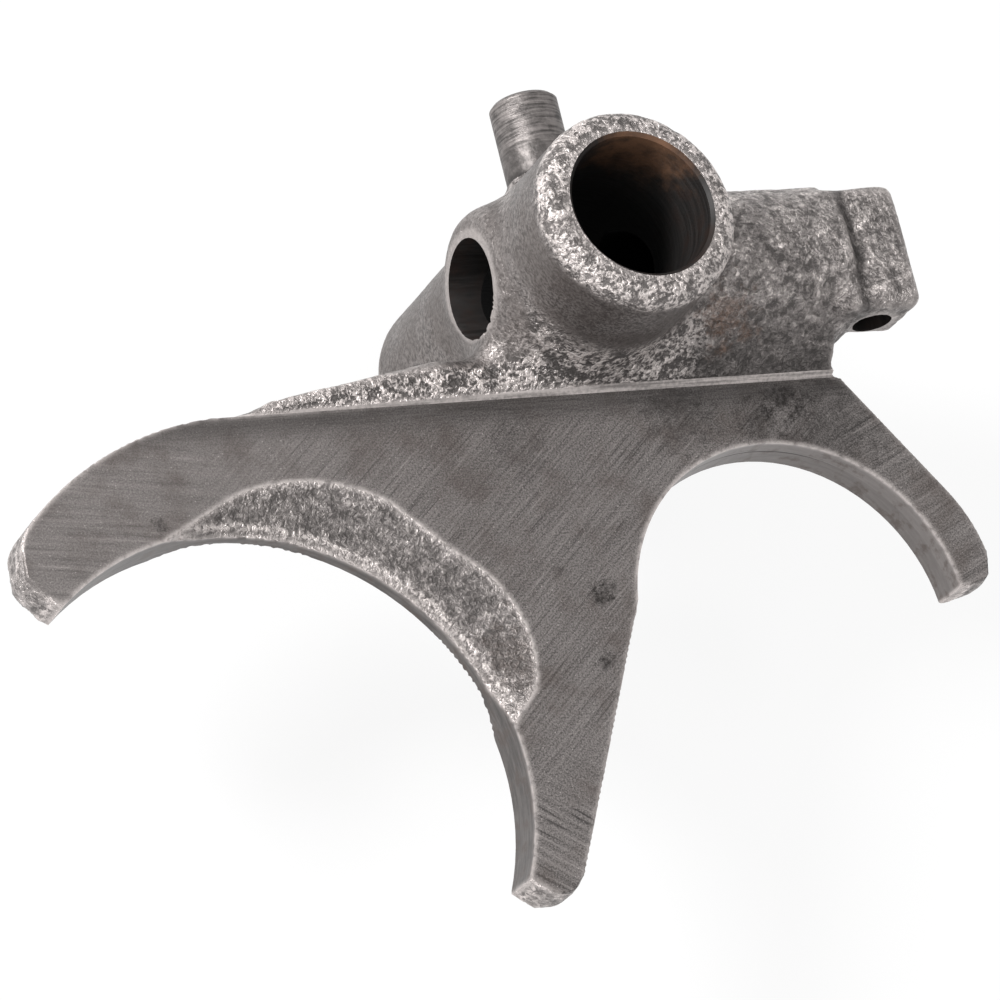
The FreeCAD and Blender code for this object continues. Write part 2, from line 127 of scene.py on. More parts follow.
def centres_of(mesh):
    flat = np.empty(len(mesh.polygons) * 3)
    mesh.polygons.foreach_get("center", flat)
    return flat.reshape(-1, 3) / MM


def add_object(name, data):
    made = bpy.data.objects.new(name, data)
    bpy.context.scene.collection.objects.link(made)
    return made


def evaluated_copy(made):
    graph = bpy.context.evaluated_depsgraph_get()
    return bpy.data.meshes.new_from_object(made.evaluated_get(graph))


def from_axis(points, centre, across):
    """Distance from an axis line: across names the two coordinates at right angles to it."""
    return np.hypot(points[:, across[0]] - centre[0], points[:, across[1]] - centre[1])


ZONES = ["cast", "milled", "claw_wall", "ledge", "bore", "detent", "pin_hole", "peg"]
CAST = ZONES.index("cast")
MILLED = ZONES.index("milled")
CLAW_WALL = ZONES.index("claw_wall")
LEDGE_STRIP = ZONES.index("ledge")


def zones_of(centres, normals):
    """Zone number of each face of the construction model."""
    y, z = centres[:, 1], centres[:, 2]
    zones = np.full(len(centres), CAST)

    def put(name, mask):
        zones[mask] = ZONES.index(name)

    put("milled", (abs(z) < ON_SURFACE) & (normals[:, 2] > 0.99))
    put("milled", (abs(z - PLATE_BACK) < ON_SURFACE) & (normals[:, 2] < -0.99))
    for centre_x, centre_y, radius in (LARGE_CLAW, SMALL_CLAW):
        reach = from_axis(centres, (centre_x, centre_y), (0, 1))
        put("claw_wall", (abs(reach - radius) < 0.3) & (abs(z) < 6) & (abs(normals[:, 2]) < 0.8))
    put("ledge", (y > LEDGE - ON_SURFACE) & (y < LEDGE + LEDGE_BEVEL + ON_SURFACE)
        & (z > 0) & (z < LEDGE_BEVEL) & (normals[:, 1] < -0.5) & (normals[:, 2] > 0.5))
    rail = from_axis(centres, (0, 0), (0, 1))
    put("bore", (rail < RAIL_RADIUS + 0.5) & (abs(normals[:, 2]) < 0.9))
    detent = from_axis(centres, (0, 0), (1, 2))
    put("detent", (detent < DETENT_RADIUS + 0.05) & (rail > RAIL_RADIUS + 0.5))
    pin = from_axis(centres, (PIN_CENTRE[0], PIN_CENTRE[2]), (0, 2))
    put("pin_hole", (pin < PIN_RADIUS + 0.05) & (y > BLOCK_BOTTOM))
    peg = from_axis(centres, (0, 0), (0, 2))
    put("peg", (peg < PEG_RADIUS + 0.05) & (y > BOSS_TOP - 0.1))
    return zones


class Reference:
    """The construction model's surface, split by its sharp edges and its zones into smooth regions."""

    def __init__(self, mesh):
        bm = bmesh.new()
        bm.from_mesh(mesh)
        bmesh.ops.remove_doubles(bm, verts=bm.verts, dist=1e-7)
        bmesh.ops.triangulate(bm, faces=bm.faces)
        bm.faces.ensure_lookup_table()
        self.points = np.array([vert.co for vert in bm.verts]) / MM
        self.faces = np.array([[vert.index for vert in face.verts] for face in bm.faces])
        self.normals = np.array([face.normal for face in bm.faces])
        self.zones = zones_of(self.points[self.faces].mean(1), self.normals)
        split = [edge for edge in bm.edges if edge.is_manifold and self.is_split(edge)]
        self.regions = self.split_regions(bm, set(split))
        self.lines = np.array([[self.points[vert.index] for vert in edge.verts] for edge in split])
        self.pairs = np.array([[face.index for face in edge.link_faces] for edge in split])
        self.convex = np.array([edge.is_convex for edge in split])
        self.tree = BVHTree.FromPolygons(self.points.tolist(), self.faces.tolist())
        bm.free()

    def is_split(self, edge):
        first, last = (self.zones[face.index] for face in edge.link_faces)
        return first != last or edge.calc_face_angle() > CREASE_ANGLE

    def split_regions(self, bm, split):
        regions = np.full(len(bm.faces), -1)
        count = 0
        for seed in bm.faces:
            if regions[seed.index] >= 0:
                continue
            regions[seed.index] = count
            stack = [seed]
            while stack:
                face = stack.pop()
                for edge in face.edges:
                    if edge in split:
                        continue
                    for other in edge.link_faces:
                        if regions[other.index] < 0:
                            regions[other.index] = count
                            stack.append(other)
            count += 1
        return regions

    def nearest(self, points):
        """Nearest surface points and the faces they lie on."""
        found = [self.tree.find_nearest(point) for point in points.tolist()]
        return np.array([hit[0] for hit in found]), np.array([hit[2] for hit in found])


def voxel_copy(reference, size):
    """Even mesh of the same form."""
    mesh = bpy.data.meshes.new("even")
    mesh.from_pydata((reference.points * MM).tolist(), [], reference.faces.tolist())
    source = add_object("even", mesh)
    remesh = source.modifiers.new("even", "REMESH")
    remesh.mode = "VOXEL"
    remesh.voxel_size = size * MM
    made = evaluated_copy(source)
    bpy.data.objects.remove(source)
    return made


class Net:
    """Neighbour sums over a mesh's edges."""

    def __init__(self, mesh):
        self.edges = edges_of(mesh)
        self.count = len(mesh.vertices)
        self.degree = np.bincount(self.edges.ravel(), minlength=self.count).astype(float)

    def mean(self, values):
        """Mean of each vertex's neighbours."""
        if values.ndim == 2:
            return np.stack([self.mean(column) for column in values.T], 1)
        first, last = self.edges.T
        total = np.bincount(first, values[last], self.count) + np.bincount(last, values[first], self.count)
        return total / self.degree

    def relax(self, points, weights, rounds):
        """Move points towards the mean of their neighbours."""
        for _ in range(rounds):
            points += (self.mean(points) - points) * weights[:, None]

    def spread(self, values, rounds):
        """Smooth a value over the mesh."""
        for _ in range(rounds):
            values = (values + self.mean(values)) / 2
        return values


def tree_along(lines, step=0.1):
    """Search tree of points along straight lines."""
    made = []
    for start, end in lines:
        count = int(np.linalg.norm(end - start) / step) + 2
        made.append(start + (end - start) * np.linspace(0, 1, count)[:, None])
    points = np.vstack(made)
    tree = KDTree(len(points))
    for index, point in enumerate(points.tolist()):
        tree.insert(point, index)
    tree.balance()
    return tree


def distances(points, tree):
    return np.array([tree.find(point)[2] for point in points.tolist()])


def snap_to_lines(points, net, regions, tree, snapped):
    """Move one end of each mesh edge that crosses a line onto that line, and note it in snapped."""
    crossing = net.edges[regions[net.edges[:, 0]] != regions[net.edges[:, 1]]]
    targets = {vertex: tree.find(points[vertex]) for vertex in np.unique(crossing)}
    for first, last in crossing:
        if snapped[first] or snapped[last]:
            continue
        near = first if targets[first][2] < targets[last][2] else last
        if targets[near][2] < SNAP_REACH:
            points[near] = targets[near][0]
            snapped[near] = True


def cut_quads(mesh, snapped):
    """Triangles of an all-quad mesh, cut along the lines that its points were moved onto."""
    quads = np.empty(len(mesh.loops), int)
    mesh.loops.foreach_get("vertex_index", quads)
    quads = quads.reshape(-1, 4)
    on_line = snapped[quads]
    turn = on_line[:, 1] & on_line[:, 3] & ~(on_line[:, 0] & on_line[:, 2])
    quads[turn] = np.roll(quads[turn], 1, 1)
    return np.vstack([quads[:, [0, 1, 2]], quads[:, [0, 2, 3]]])


def noise_at(points, wavelength, seed):
    """Smooth noise from -1 to 1 with the given wavelength."""
    return np.array([noise.noise(point) for point in ((points + seed) / wavelength).tolist()])


def smooth_step(values, low, high):
    share = np.clip((values - low) / (high - low), 0, 1)
    return share * share * (3 - 2 * share)


def satin_share(points):
    """1 on the smoother skin of the hub's sides and the left stub, 0 on the coarse skin."""
    x, y, z = points.T
    hub = 1 - smooth_step(from_axis(points, (0, 0), (0, 1)), HUB_RADIUS + 0.5, HUB_RADIUS + 1.6)
    hub *= 1 - smooth_step(z, HUB_FRONT - 3.6, HUB_FRONT - 2.0)
    hub *= np.where(z > 0, smooth_step(z + x * 0.15, 5.5, 10.0), 1)
    stub = 1 - smooth_step(from_axis(points, (0, 0), (1, 2)), BARREL_RADIUS, BARREL_RADIUS + 0.8)
    stub *= smooth_step(-x, 5.0, 8.0)
    return np.maximum(hub, stub * 0.7)


def lay_on_surface(mesh, net, reference, keep):
    """The even mesh's points on the surface, their zones, and which of them lie on the kept lines."""
    points, faces = reference.nearest(points_of(mesh))
    tree = tree_along(reference.lines[keep], 0.03)
    snapped = np.zeros(len(points), bool)
    snap_to_lines(points, net, reference.regions[faces], tree, snapped)
    for _ in range(3):
        moved, faces = reference.nearest(points + (net.mean(points) - points) * 0.5)
        points[~snapped] = moved[~snapped]
    snap_to_lines(points, net, reference.regions[faces], tree, snapped)
    return points, reference.zones[faces], snapped


def soften_casting(points, net, cast, to_machined, to_corner):
    """Let the casting's inner corners flow into each other. Machined edges stay where they are."""
    near_hub = 1 - smooth_step(points[:, 0], *BLOCK_START)
    off_edges = cast * np.clip(to_machined / 0.6, 0, 1)
    at_corner = np.clip(1.4 - to_corner / (2.0 + 2.6 * near_hub), 0, 1)
    net.relax(points, 0.5 * off_edges * (0.12 + 0.88 * near_hub) * at_corner, 260)
    net.relax(points, 0.35 * cast * np.clip(to_machined / 1.2, 0, 1), 4)
    junction = np.clip(2 - np.linalg.norm(points - STUB_JUNCTION, axis=1) / 2.2, 0, 1)
    net.relax(points, 0.5 * junction * off_edges, 150)


def round_tips(points, net):
    """Round the corners of the fork's tips, as seen from the front."""
    for corner_x, corner_y, reach in TIP_CORNERS:
        near = np.clip(1.5 - 1.5 * from_axis(points, (corner_x, corner_y), (0, 1)) / reach, 0, 1)
        net.relax(points[:, :2], 0.5 * near, 120)


def reduced_object(points, triangles, values, plain):
    """The forging as an object, with values at its points and fewer triangles where it is plain."""
    mesh = bpy.data.meshes.new("forging")
    mesh.from_pydata((points * MM).tolist(), [], triangles.tolist())
    for name, value in values.items():
        mesh.attributes.new(name, "FLOAT", "POINT").data.foreach_set("value", value.astype(np.float32))
    forging = add_object("forging", mesh)
    group = forging.vertex_groups.new(name="plain")
    group.add(np.flatnonzero(plain).tolist(), 1.0, "REPLACE")
    reduce = forging.modifiers.new("reduce", "DECIMATE")
    reduce.ratio = min(1.0, TRIANGLES / len(triangles))
    reduce.vertex_group = "plain"
    reduce.vertex_group_factor = 1.0
    reduced = evaluated_copy(forging)
    forging.modifiers.clear()
    forging.vertex_groups.clear()
    forging.data = reduced
    return forging


def build_forging(reference):
    """One fine mesh of the whole forging, with a cast skin and crisp machined edges."""
    pair_zones = reference.zones[reference.pairs]
    machined = (pair_zones != CAST).any(1)
    keep = machined | reference.convex
    mesh = voxel_copy(reference, VOXEL)
    net = Net(mesh)
    points, zones, snapped = lay_on_surface(mesh, net, reference, keep)
    cast = zones == CAST
    to_machined = distances(points, tree_along(reference.lines[machined]))
    to_corner = distances(points, tree_along(reference.lines[~keep]))
    soften_casting(points, net, cast, to_machined, to_corner)
    round_tips(points, net)
    set_points(mesh, points)
    normals = normals_of(mesh)

    # the edge between a milled face and a cast side is slightly broken
    milled_edge = (pair_zones == MILLED).any(1) & ~(pair_zones == MILLED).all(1)
    upright = abs(reference.normals[reference.pairs][:, :, 2]).min(1) < 0.3
    outer = milled_edge & (pair_zones == CAST).any(1) & upright
    on_outer = snapped & (distances(points, tree_along(reference.lines[outer])) < 0.06)
    points[on_outer] -= normals[on_outer] * EDGE_BREAK

    # how near a point is to an edge painted bright, as wear and as a painted highlight, and to the ridge
    # along the relief's lip
    front = reference.lines[:, :, 2].max(1) > FRONT_ABOVE
    lip = (pair_zones == CLAW_WALL).any(1) & (pair_zones == CAST).any(1) & front
    strip = (pair_zones == LEDGE_STRIP).any(1)
    bright = reference.convex & front & (milled_edge | lip | strip)
    from_bright = distances(points, tree_along(reference.lines[bright]))
    edge = net.spread(np.clip(1 - from_bright / WORN_HIGHLIGHT_WIDTH, 0, 1), 1)
    from_lip = distances(points, tree_along(reference.lines[lip]))
    lip_ridge = np.exp(-((from_lip - LIP_INSET) / LIP_WIDTH) ** 2) * cast
    shelf = (1 - smooth_step(from_lip, 0.5, LIP_INSET)) * cast

    # how far the surface bulges (above 0) or dips (below 0) over about a millimetre
    bulge = net.spread(((points - net.mean(points)) * normals).sum(1), 12)

    # cast skin: waves, lumps, worm-like ridges and the ridge along the lip
    satin = satin_share(points)
    rough = cast * np.clip(to_machined / 1.2, 0, 1)
    coarse = rough * (1 - 0.75 * satin) * (1 - 0.7 * shelf)
    waves = noise_at(points, 5.0, 11.0) * WAVE_HEIGHT * rough
    lumps = noise_at(points, 1.6, 37.0) * LUMP_HEIGHT * coarse
    worms = (0.4 - np.abs(noise_at(points, 1.1, 71.0)) * 1.6) * WORM_HEIGHT * coarse
    raised = lip_ridge * (0.08 + 0.06 * noise_at(points, 2.0, 53.0))
    points += normals * (waves + lumps + worms + raised)[:, None]

    values = {"satin": satin, "bulge": bulge, "skin": lumps + worms, "edge": edge, "lip": lip_ridge}
    plain = ~cast & (to_machined > KEEP_NEAR_EDGE) & ~snapped
    forging = reduced_object(points, cut_quads(mesh, snapped), values, plain)
    _, faces = reference.nearest(centres_of(forging.data))
    forging.data.polygons.foreach_set("material_index", reference.zones[faces])
    mark_sharp(forging.data, tree_along(reference.lines[machined & ~outer]))
    return forging


def mark_sharp(mesh, tree):
    """Shade smooth, with sharp edges only along machined lines."""
    mesh.shade_smooth()
    bm = bmesh.new()
    bm.from_mesh(mesh)
    for edge in bm.edges:
        if edge.is_manifold and edge.calc_face_angle() > CREASE_ANGLE / 2:
            middle = (edge.verts[0].co + edge.verts[1].co) / 2 / MM
            edge.smooth = tree.find(middle)[2] > 0.2
    bm.to_mesh(mesh)
    bm.free()


class Shader:
    """Adds and links the nodes of one material."""

    def __init__(self, name):
        self.material = bpy.data.materials.new(name)
        self.material.use_nodes = True
        self.nodes = self.material.node_tree.nodes
        self.links = self.material.node_tree.links
        self.surface = self.nodes["Principled BSDF"]
        self.place = self.nodes.new("ShaderNodeTexCoord").outputs["Object"]

    def link(self, value, socket):
        if isinstance(value, bpy.types.NodeSocket):
            self.links.new(value, socket)
        else:
            socket.default_value = value

    def node(self, kind, inputs=None, **settings):
        made = self.nodes.new(kind)
        for key, value in settings.items():
            setattr(made, key, value)
        for key, value in (inputs or {}).items():
            self.link(value, made.inputs[key])
        return made

    def noise(self, wavelength, detail=2.0, roughness=0.5, distortion=0.0, place=None):
        """Noise from 0 to 1 with the given wavelength."""
        return self.node("ShaderNodeTexNoise", {
            "Vector": place or self.place, "Scale": 1 / (wavelength * MM), "Detail": detail,
            "Roughness": roughness, "Distortion": distortion}).outputs["Fac"]

    def math(self, operation, *values):
        made = self.node("ShaderNodeMath", operation=operation)
        for socket, value in zip(made.inputs, values):
            self.link(value, socket)
        return made.outputs[0]

    def add(self, *values):
        total = values[0]
        for value in values[1:]:
            total = self.math("ADD", total, value)
        return total

    def times(self, *values):
        total = values[0]
        for value in values[1:]:
            total = self.math("MULTIPLY", total, value)
        return total

    def rest(self, share):
        return self.math("SUBTRACT", 1.0, share)

    def ramp(self, value, low, high, bottom=0.0, top=1.0):
        """Map low..high to bottom..top, smoothly and without overshoot."""
        return self.node("ShaderNodeMapRange", {
            "Value": value, "From Min": low, "From Max": high, "To Min": bottom, "To Max": top},
            interpolation_type="SMOOTHSTEP").outputs["Result"]

    def between(self, value, low, high):
        """Rise from 0 at one place in millimetres to 1 at another."""
        return self.ramp(value, low * MM, high * MM)

    def mix(self, share, first, second):
        made = self.node("ShaderNodeMix", data_type="RGBA")
        self.link(share, made.inputs["Factor"])
        for socket, value in zip([s for s in made.inputs if s.type == "RGBA"], (first, second)):
            self.link(value, socket)
        return next(s for s in made.outputs if s.type == "RGBA")

    def stretched(self, scale, turn=0.0):
        """Coordinates for marks that run at an angle to X and are scaled."""
        angle = (0, 0, math.radians(-turn))
        turned = self.node("ShaderNodeMapping", {"Vector": self.place, "Rotation": angle})
        return self.node("ShaderNodeMapping", {"Vector": turned.outputs[0], "Scale": scale}).outputs[0]

    def coordinates(self):
        split = self.node("ShaderNodeSeparateXYZ", {"Vector": self.place})
        return split.outputs["X"], split.outputs["Y"], split.outputs["Z"]

    def spot(self, centre, radius, ragged=0.9):
        """Soft ragged blot about a point, 1 in its middle."""
        away = self.node("ShaderNodeVectorMath", {0: self.place, 1: tuple(c * MM for c in centre)},
                         operation="DISTANCE").outputs["Value"]
        wander = self.times(self.math("SUBTRACT", self.noise(1.6, 4.0, 0.65), 0.5), radius * MM * ragged * 3)
        return self.ramp(self.add(away, wander), radius * MM, radius * MM * 0.25)

    def stain(self, colour, spots, tint):
        """Add blots of one tint. Each spot is a centre, a radius and a share."""
        speckled = self.ramp(self.noise(0.55, 3.0, 0.7), 0.38, 0.62, 0.35, 1.0)
        for centre, radius, share in spots:
            colour = self.mix(self.times(self.spot(centre, radius), speckled, share), colour, tint)
        return colour

    def bump(self, height):
        """Normal from a height in millimetres."""
        made = self.node("ShaderNodeBump", {"Height": height, "Distance": MM, "Strength": 1.0})
        return made.outputs["Normal"]

    def attribute(self, name):
        return self.node("ShaderNodeAttribute", attribute_name=name).outputs["Fac"]

    def worn_and_highlit_edge(self, colour, share=0.8):
        """Bright broken line along the edges: wear, and a painted highlight on them."""
        broken = self.ramp(self.noise(1.3, 3.0, 0.6), 0.32, 0.55, 0.35, 1.0)
        return self.mix(self.times(self.attribute("edge"), broken, share), colour, steel(0.72))

    def finish(self, colour, roughness, metallic, normal=None, specular=0.5):
        self.link(colour, self.surface.inputs["Base Color"])
        self.link(roughness, self.surface.inputs["Roughness"])
        self.surface.inputs["Metallic"].default_value = metallic
        self.surface.inputs["Specular IOR Level"].default_value = specular
        if normal is not None:
            self.link(normal, self.surface.inputs["Normal"])
        return self.material


METALLIC = 0.75
RUST = (0.16, 0.085, 0.05, 1.0)
BROWN_FILM = (0.085, 0.066, 0.058, 1.0)
BLACK_STAIN = (0.02, 0.017, 0.016, 1.0)


def steel(level):
    """Steel grey with a slight warm cast."""
    return (level * 1.08, level * 0.985, level * 0.95, 1.0)


def cast_material():
    shader = Shader("cast_skin")
    x, y, z = shader.coordinates()
    satin = shader.attribute("satin")
    coarse = shader.rest(satin)
    worms = shader.noise(0.55, 3.0, 0.6, 0.6)
    pits = shader.noise(0.28, 2.0, 0.5)
    grain = shader.noise(0.3, 3.0, 0.7, 0.0, shader.stretched((1, 0.6, 1)))
    broad = shader.noise(6.0, 4.0, 0.6)
    high = shader.add(shader.times(worms, 0.7), shader.times(pits, 0.3),
                      shader.times(shader.attribute("skin"), 2.2))
    plain = shader.mix(shader.ramp(high, 0.35, 0.62), steel(0.12), steel(0.38))
    # bright spots on the skin's highest points: the blasted skin's sparkle and a painted highlight
    plain = shader.mix(shader.ramp(high, 0.58, 0.70, 0.0, 0.8), plain, steel(0.75))
    # painted light: a brighter, more contrasty copy of the skin for the lit rim and foot
    lit_skin_colour = shader.mix(shader.ramp(high, 0.44, 0.60), steel(0.10), steel(0.82))

    # painted light: brighter on the hub's front rim, where the blasted skin is also brighter, and on the
    # foot and rib; painted shade low on the web and in the relief
    rim = shader.between(z, HUB_FRONT - 3.8, HUB_FRONT - 1.2)
    foot = shader.times(shader.between(z, 10.0, 5.0), shader.between(z, 0.1, 0.4),
                        shader.between(y, -5.0, -8.0), shader.between(x, 15.5, 10.0))
    relief = shader.times(shader.between(z, -0.1, -0.5), shader.between(z, -4.0, -3.0),
                          shader.between(x, -62, -58), shader.between(y, -55, -51))
    web = shader.times(shader.between(y, -5.0, -12.0), shader.between(x, 9.0, 13.0),
                       shader.between(z, 0.1, 0.5))
    coarse_colour = shader.mix(shader.times(shader.math("MAXIMUM", rim, foot), 0.75), plain, lit_skin_colour)
    # painted shade: the web darker low down, towards the ledge
    coarse_colour = shader.mix(shader.times(web, 0.66), coarse_colour, steel(0.05))
    # painted shade: darker in the relief's recess
    coarse_colour = shader.mix(shader.times(relief, 0.4), coarse_colour, steel(0.085))
    satin_colour = shader.mix(shader.ramp(grain, 0.38, 0.62), steel(0.085), steel(0.25))
    satin_colour = shader.mix(shader.ramp(broad, 0.35, 0.65, 0.1, 0.5), satin_colour, BROWN_FILM)
    colour = shader.mix(satin, coarse_colour, satin_colour)
    colour = shader.mix(shader.ramp(broad, 0.45, 0.75, 0.0, 0.4), colour, steel(0.12))

    # high spots painted lighter, as wear and as a painted highlight; hollows painted darker as painted shade
    bulge = shader.attribute("bulge")
    colour = shader.mix(shader.ramp(bulge, 0.004, 0.02, 0.0, 0.45), colour, steel(0.55))
    colour = shader.mix(shader.ramp(bulge, -0.004, -0.02, 0.0, 0.45), colour, steel(0.07))
    # painted shade in the groove before the block
    off_groove = shader.math("ABSOLUTE", shader.math("SUBTRACT", x, (GROOVE - 0.4) * MM))
    groove = shader.times(shader.between(off_groove, 1.2, 0.3), shader.between(z, 3, 5))
    colour = shader.mix(shader.times(groove, 0.6), colour, steel(0.05))
    colour = shader.stain(colour, (((15.0, -7.5, 5.5), 4.5, 0.6),), RUST)
    colour = shader.stain(colour, (((-15.8, -41.6, -1.5), 6.0, 0.6),), BROWN_FILM)
    # painted highlight: the ridge along the lip is painted bright where it catches light
    ridge = shader.times(shader.attribute("lip"), shader.ramp(worms, 0.40, 0.55, 0.15, 1.0))
    colour = shader.worn_and_highlit_edge(shader.mix(shader.times(ridge, 0.8), colour, steel(0.75)))
    height = shader.add(shader.times(shader.ramp(worms, 0.3, 0.7), coarse, 0.18),
                        shader.times(pits, coarse, 0.05), shader.times(grain, satin, 0.06))
    return shader.finish(colour, shader.ramp(high, 0.3, 0.7, 0.52, 0.36), METALLIC, shader.bump(height))


def milled_material():
    shader = Shader("milled_steel")
    x, y, _ = shader.coordinates()
    up_marks = shader.noise(0.36, 3.0, 0.7, 0.0, shader.stretched((0.025, 1.0, 1.0), 40))
    finger_marks = shader.noise(0.45, 3.0, 0.65, 0.0, shader.stretched((0.03, 1.0, 1.0), 23))
    down_marks = shader.noise(0.5, 2.0, 0.6, 0.0, shader.stretched((0.05, 1.0, 1.0), -35))
    level_marks = shader.noise(0.35, 3.0, 0.6, 0.0, shader.stretched((0.04, 1.0, 1.0)))
    arm_marks = shader.noise(0.5, 3.0, 0.6, 0.0, shader.stretched((0.04, 1.0, 1.0), -8))
    on_prong = shader.between(y, -50, -60)
    on_arm = shader.between(x, -40, -52)
    on_finger = shader.between(x, 24, 30)
    near_ledge = shader.between(y, LEDGE - 4.0, LEDGE - 0.6)
    marks = up_marks
    for share, others in ((on_prong, down_marks), (on_arm, arm_marks), (on_finger, finger_marks),
                          (near_ledge, level_marks)):
        marks = shader.add(shader.times(marks, shader.rest(share)), shader.times(others, share))
    grain = shader.noise(0.2, 4.0, 0.75)
    broad = shader.noise(7.0, 5.0, 0.65)
    scratched = shader.ramp(shader.noise(9.0, 2.0, 0.5), 0.42, 0.58, 0.3, 1.0)
    patches = shader.noise(2.2, 4.0, 0.6)
    speck = shader.ramp(shader.noise(0.26, 1.0, 0.5), 0.68, 0.76)
    level = shader.add(shader.times(marks, 0.28), shader.times(grain, 0.72))
    colour = shader.mix(shader.ramp(level, 0.38, 0.62), steel(0.075), steel(0.25))
    bright = shader.times(shader.ramp(marks, 0.62, 0.72, 0.0, 0.45), scratched)
    dark = shader.times(shader.ramp(marks, 0.41, 0.32, 0.0, 0.6), scratched)
    colour = shader.mix(dark, shader.mix(bright, colour, steel(0.42)), steel(0.03))
    # painted light: the milled face lighter towards the left
    colour = shader.mix(shader.times(shader.between(x, -15, -45), 0.3), colour, steel(0.28))
    colour = shader.mix(shader.times(speck, 0.6), colour, steel(0.5))
    colour = shader.mix(shader.ramp(broad, 0.45, 0.7, 0.0, 0.5), colour, BROWN_FILM)
    colour = shader.mix(shader.ramp(patches, 0.6, 0.8, 0.0, 0.4), colour, steel(0.04))
    # painted shade on the milled face just under the ledge
    colour = shader.mix(shader.times(near_ledge, 0.6), colour, steel(0.04))
    stains = (((22.6, -14.8, 0), 3.5, 0.85), ((19.0, -18.0, 0), 3.5, 0.6), ((9.5, -16.5, 0), 6.0, 0.5),
              ((27.0, -20.0, 0), 8.0, 0.5), ((-5.3, -36.0, 0), 1.8, 0.9), ((-4.0, -35.2, 0), 1.2, 0.7),
              ((-6.7, -43.5, 0), 1.4, 0.8), ((-10.5, -18.9, 0), 5.0, 0.3), ((33.5, -29.2, 0), 1.8, 0.5),
              ((-52.9, -24.3, 0), 1.2, 0.6), ((-9.3, -32.8, 0), 1.2, 0.5))
    colour = shader.worn_and_highlit_edge(shader.stain(colour, stains, BLACK_STAIN))
    normal = shader.bump(shader.add(shader.times(marks, scratched, 0.05), shader.times(grain, 0.05)))
    return shader.finish(colour, shader.ramp(level, 0.3, 0.7, 0.5, 0.38), METALLIC, normal)


def ledge_material():
    """Light strip with marks along its length."""
    shader = Shader("ledge_strip")
    marks = shader.noise(0.3, 3.0, 0.6, 0.0, shader.stretched((0.04, 1.0, 1.0)))
    grain = shader.noise(0.4, 3.0, 0.6)
    level = shader.add(shader.times(marks, 0.6), shader.times(grain, 0.4))
    colour = shader.worn_and_highlit_edge(shader.mix(shader.ramp(level, 0.35, 0.65), steel(0.28), steel(0.68)))
    return shader.finish(colour, 0.42, METALLIC, shader.bump(shader.times(level, 0.04)))


def claw_wall_material():
    """Bored wall, with a thin dark line round the small claw."""
    shader = Shader("claw_wall")
    x, _, z = shader.coordinates()
    marks = shader.noise(0.5, 3.0, 0.6, 0.0, shader.stretched((0.15, 0.15, 1.0)))
    blotch = shader.noise(2.0, 4.0, 0.65)
    small = shader.between(x, -14, -8)
    line_at = -2.3
    band = shader.times(shader.between(z, line_at - 0.1, line_at + 0.1), small)
    level = shader.add(shader.times(marks, 0.6), shader.times(blotch, 0.4))
    colour = shader.mix(shader.ramp(level, 0.35, 0.68), steel(0.075), steel(0.15))
    colour = shader.mix(shader.times(small, 0.5), colour, steel(0.20))
    colour = shader.mix(shader.times(band, 0.15), colour, steel(0.34))
    colour = shader.mix(shader.ramp(blotch, 0.48, 0.66, 0.0, 0.7), colour, BROWN_FILM)
    off_line = shader.math("ABSOLUTE", shader.math("SUBTRACT", z, line_at * MM))
    groove = shader.times(shader.between(off_line, 0.16, 0.04), small, shader.between(x, 30, 22))
    colour = shader.worn_and_highlit_edge(shader.mix(shader.times(groove, 0.7), colour, steel(0.04)))
    height = shader.add(shader.times(marks, 0.03), shader.times(groove, -0.12))
    return shader.finish(colour, 0.4, METALLIC, shader.bump(height))


def bore_material(name, level, along, mouth, deep, rust_place=None):
    """Bored wall painted dark as painted shade, with turning rings, and painted black in its depth as
    painted shade. Along names the axis: 0 for X, 1, 2.
    """
    shader = Shader(name)
    rings = shader.noise(0.45, 3.0, 0.6, 0.0, shader.stretched((0.05, 0.05, 1.0)))
    patches = shader.noise(2.5, 4.0, 0.6)
    colour = shader.mix(shader.ramp(rings, 0.35, 0.7), steel(level), steel(level * 2.5))
    film = (level * 2.4, level * 1.4, level * 1.1, 1.0)
    colour = shader.mix(shader.ramp(patches, 0.4, 0.7, 0.0, 0.6), colour, film)
    if rust_place is not None:
        rust = shader.times(shader.spot(rust_place, 8.0, 0.3), shader.ramp(patches, 0.3, 0.6, 0.4, 1.0))
        colour = shader.mix(rust, colour, RUST)
    # painted shade: black deeper in the bore
    depth = shader.between(shader.coordinates()[along], mouth, deep)
    colour = shader.mix(depth, colour, steel(0.0005))
    roughness = shader.ramp(depth, 0.0, 1.0, 0.5, 0.9)
    return shader.finish(colour, roughness, 0.0, shader.bump(shader.times(rings, 0.05)), 0.2)


def peg_material():
    """Turned peg: fine rings on its upper part, painted shade in the crease at its foot."""
    shader = Shader("turned_peg")
    _, y, _ = shader.coordinates()
    rings = shader.noise(0.3, 3.0, 0.65, 0.0, shader.stretched((0.06, 1.0, 0.06)))
    blotch = shader.noise(1.4, 4.0, 0.65)
    turned = shader.between(y, BOSS_TOP + 2.0, BOSS_TOP + 4.5)
    level = shader.add(shader.times(rings, turned, 0.6), shader.times(blotch, 0.4),
                       shader.times(shader.rest(turned), 0.26))
    colour = shader.mix(shader.ramp(level, 0.38, 0.62), steel(0.07), steel(0.24))
    # painted shade in the crease at the peg's foot
    crease = shader.between(y, BOSS_TOP + 1.2, BOSS_TOP + 0.1)
    colour = shader.mix(shader.times(crease, 0.7), colour, steel(0.03))
    height = shader.add(shader.times(rings, turned, 0.15), shader.times(blotch, 0.14))
    return shader.finish(colour, 0.5, METALLIC, shader.bump(height))


